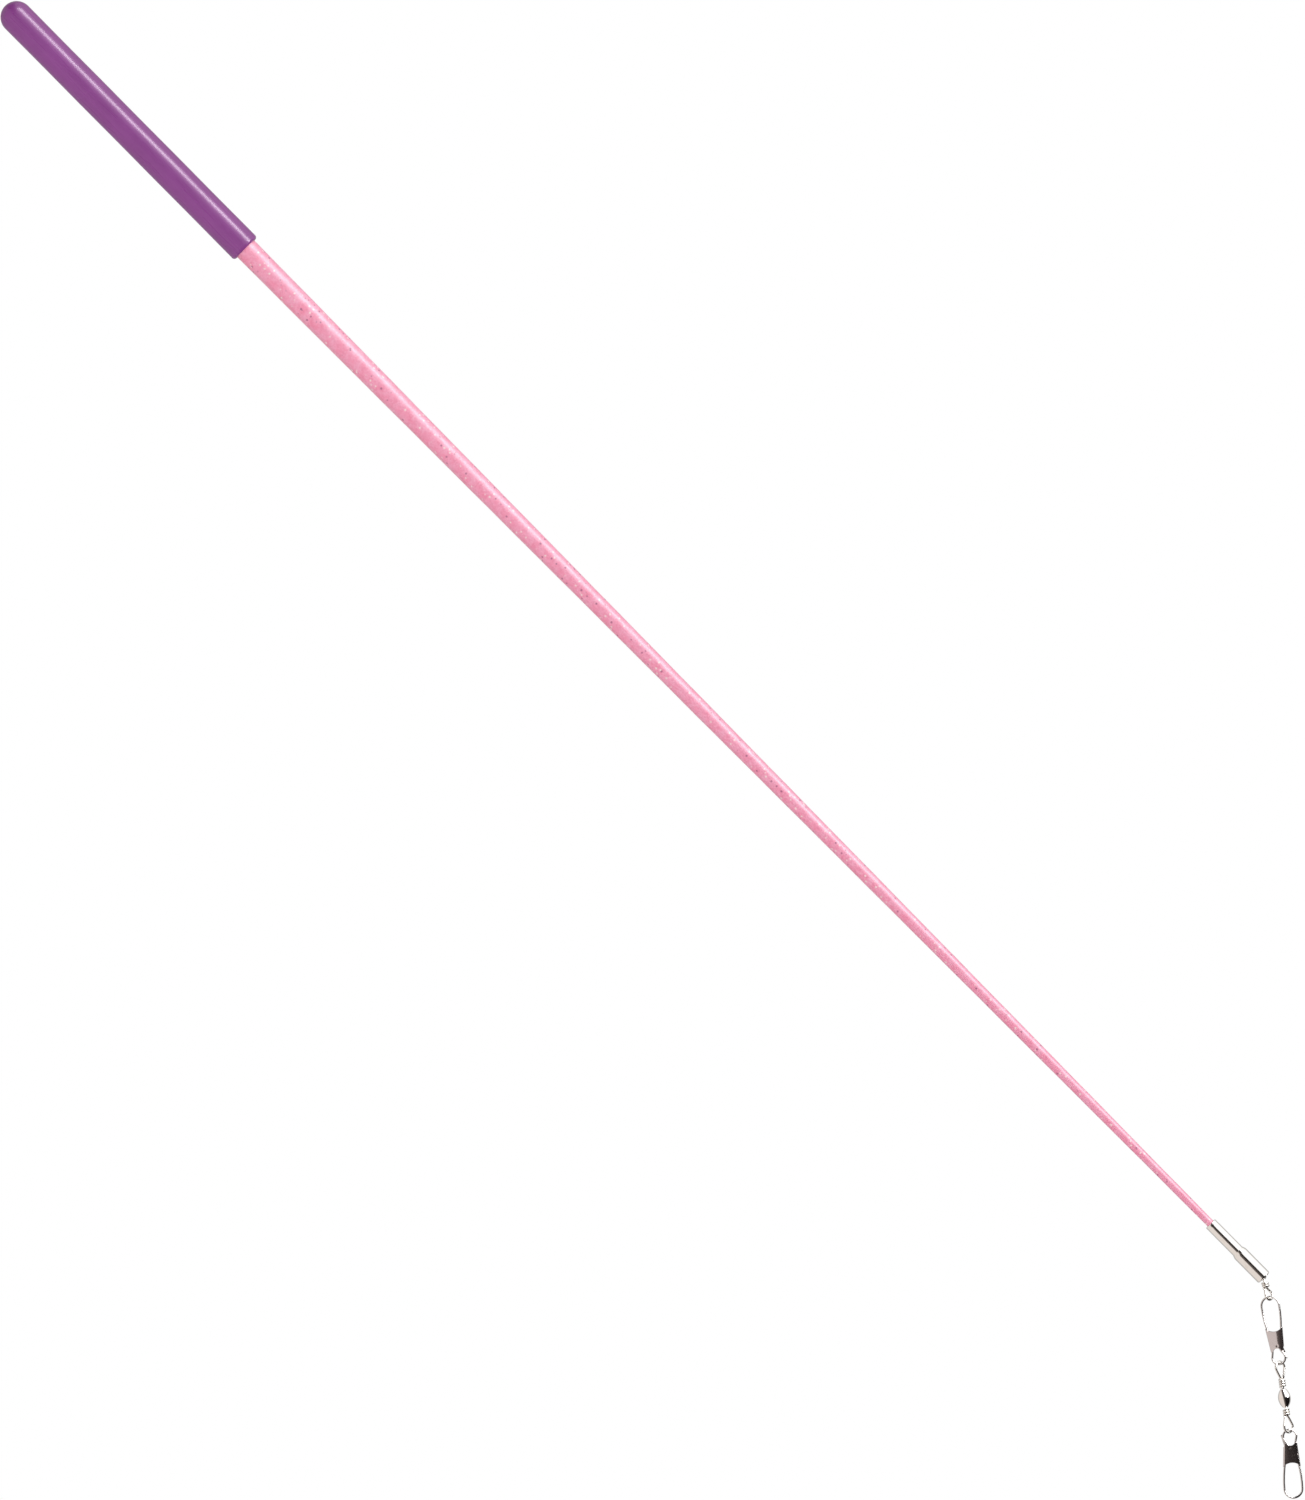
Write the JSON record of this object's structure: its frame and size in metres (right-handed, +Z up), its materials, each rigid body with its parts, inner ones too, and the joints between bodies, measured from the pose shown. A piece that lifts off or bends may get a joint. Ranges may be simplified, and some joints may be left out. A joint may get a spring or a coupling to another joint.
{
  "type": "gymnastics ribbon stick",
  "caption": "Rhythmic gymnastics ribbon stick: tapered glitter rod with a soft sleeve grip, and a ball-jointed metal tip with a snap, barrel swivel and snap chain for the ribbon.",
  "frame": {"origin": "centre of the hand grip, on the stick's axis", "axes": "+Z up as the stick is held by its grip with the chain hanging; the stick runs down at 51.3 degrees towards +X in the XZ plane; +Y goes away from the viewer, across the stick"},
  "size_m": [0.334, 0.0094, 0.4746],
  "materials": {
    "grip_sleeve": "satin violet vinyl",
    "glitter_rod": "clear-coated pink with fine glitter",
    "ferrule_plating": "polished nickel plate",
    "wire_nickel": "nickel-plated wire, lightly worn",
    "snap_wire": "drawn spring wire, nickel plated",
    "snap_plate": "nickel-plated sheet, lightly worn",
    "barrel_plating": "polished nickel plate"
  },
  "bodies": {
    "stick": {"grip": "grip_sleeve", "rod": "glitter_rod", "ferrule_sleeve": "ferrule_plating", "ferrule_cap": "ferrule_plating"},
    "ball": {"ball": "wire_nickel"},
    "tip_eye": {"tip_eye": "wire_nickel"},
    "upper_snap": {"upper_snap_wire": "snap_wire", "upper_snap_plate": "snap_plate"},
    "upper_gate": {"upper_snap_gate": "snap_wire"},
    "upper_eye": {"swivel_upper_eye": "wire_nickel"},
    "barrel": {"swivel_barrel": "barrel_plating"},
    "lower_eye": {"swivel_lower_eye": "wire_nickel"},
    "lower_snap": {"lower_snap_wire": "snap_wire", "lower_snap_plate": "snap_plate"},
    "lower_gate": {"lower_snap_gate": "snap_wire"}
  },
  "joints": [
    {"name": "tip_tilt", "type": "hinge", "parent": "stick", "child": "ball", "pos_m": [0.29549, 0, -0.36883], "axis": [0, 1, 0], "range_deg": [-60, 8]},
    {"name": "tip_spin", "type": "hinge", "parent": "ball", "child": "tip_eye", "pos_m": [0.29549, 0, -0.36883], "axis": [0.2215, 0, -0.9751], "continuous": true},
    {"name": "upper_snap_swing", "type": "hinge", "parent": "tip_eye", "child": "upper_snap", "pos_m": [0.29684, 0, -0.37771], "axis": [0.2415, 0.9703, 0.0139], "range_deg": [-50, 50]},
    {"name": "upper_gate_open", "type": "hinge", "parent": "upper_snap", "child": "upper_gate", "pos_m": [0.29938, -0.00063, -0.37757], "axis": [0.9597, 0.2756, 0.0553], "range_deg": [0, 25], "stiffness_Nm_per_rad": 0.05},
    {"name": "upper_eye_swing", "type": "hinge", "parent": "upper_snap", "child": "upper_eye", "pos_m": [0.29773, 0, -0.39304], "axis": [0.2415, 0.9703, 0.0139], "range_deg": [-35, 50]},
    {"name": "barrel_spin", "type": "hinge", "parent": "upper_eye", "child": "barrel", "pos_m": [0.29814, 0, -0.40498], "axis": [0.0349, 0, -0.9994], "continuous": true},
    {"name": "lower_eye_spin", "type": "hinge", "parent": "barrel", "child": "lower_eye", "pos_m": [0.29814, 0, -0.40498], "axis": [0.0349, 0, -0.9994], "continuous": true},
    {"name": "lower_snap_swing", "type": "hinge", "parent": "lower_eye", "child": "lower_snap", "pos_m": [0.29854, 0, -0.41627], "axis": [0, 1, 0], "range_deg": [-50, 35]},
    {"name": "lower_gate_open", "type": "hinge", "parent": "lower_snap", "child": "lower_gate", "pos_m": [0.29538, 0, -0.43152], "axis": [-0.8655, 0.5, 0.0302], "range_deg": [0, 25], "stiffness_Nm_per_rad": 0.05}
  ]
}
